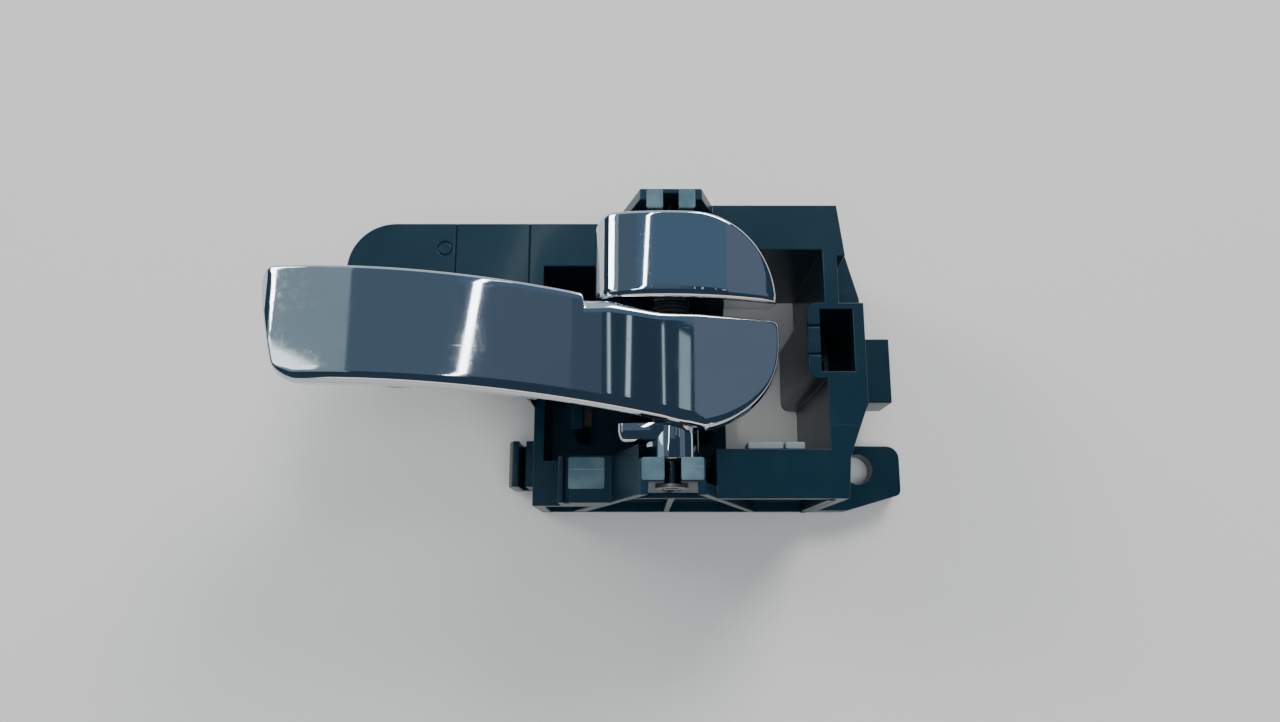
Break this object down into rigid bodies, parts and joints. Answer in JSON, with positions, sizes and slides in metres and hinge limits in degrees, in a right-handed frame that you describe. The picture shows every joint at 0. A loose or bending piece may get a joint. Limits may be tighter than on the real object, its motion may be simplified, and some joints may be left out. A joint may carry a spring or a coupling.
{
  "type": "interior door handle",
  "caption": "Interior car door handle: a long chromed pull lever and a short lock knob hinged on one pin in a black moulded housing with a wing, screw well, tongue, hook and ear.",
  "frame": {"origin": "on the housing's back face, straight behind the hinge axis and at mid height of the frame", "axes": "+X from the grip towards the screw ear, +Y along the hinge pin from the lever to the knob, +Z out of the door towards the hand"},
  "size_m": [0.1376, 0.0622, 0.0568],
  "materials": {
    "housing_plastic": "glossy black moulding",
    "chrome": "mirror",
    "core_plastic": "fibre filled",
    "liner_plastic": "fine grain",
    "bush_plastic": "natural",
    "pin_steel": "ground",
    "spring_steel": "drawn",
    "nut_steel": "passivated",
    "buffer_plastic": "satin",
    "bumper_rubber": "matte"
  },
  "bodies": {
    "housing": {"housing": "housing_plastic", "hinge_pin": "pin_steel", "pin_retainer": "spring_steel", "thrust_washer": "bush_plastic", "return_spring": "spring_steel", "detent_spring": "spring_steel", "spring_nut": "nut_steel", "buffer_inner": "buffer_plastic", "buffer_outer": "buffer_plastic", "lever_rest_bumper": "bumper_rubber", "lever_open_bumper": "bumper_rubber", "knob_bumper": "bumper_rubber"},
    "lever": {"lever_shell": "chrome", "lever_core": "core_plastic", "lever_liner": "liner_plastic", "lever_bush_lower": "bush_plastic", "lever_bush_upper": "bush_plastic"},
    "knob": {"knob_cap": "chrome", "knob_core": "core_plastic", "knob_bush_lower": "bush_plastic", "knob_bush_upper": "bush_plastic"}
  },
  "joints": [
    {"name": "lever_hinge", "type": "hinge", "parent": "housing", "child": "lever", "pos_m": [0, 0, 0.043], "axis": [0, 1, 0], "range_deg": [0, 36], "stiffness_Nm_per_rad": 0.12, "springref_deg": -40.11, "deforming": ["return_spring"]},
    {"name": "knob_hinge", "type": "hinge", "parent": "housing", "child": "knob", "pos_m": [0, 0, 0.043], "axis": [0, 1, 0], "range_deg": [-16, 0], "deforming": ["detent_spring"]}
  ]
}
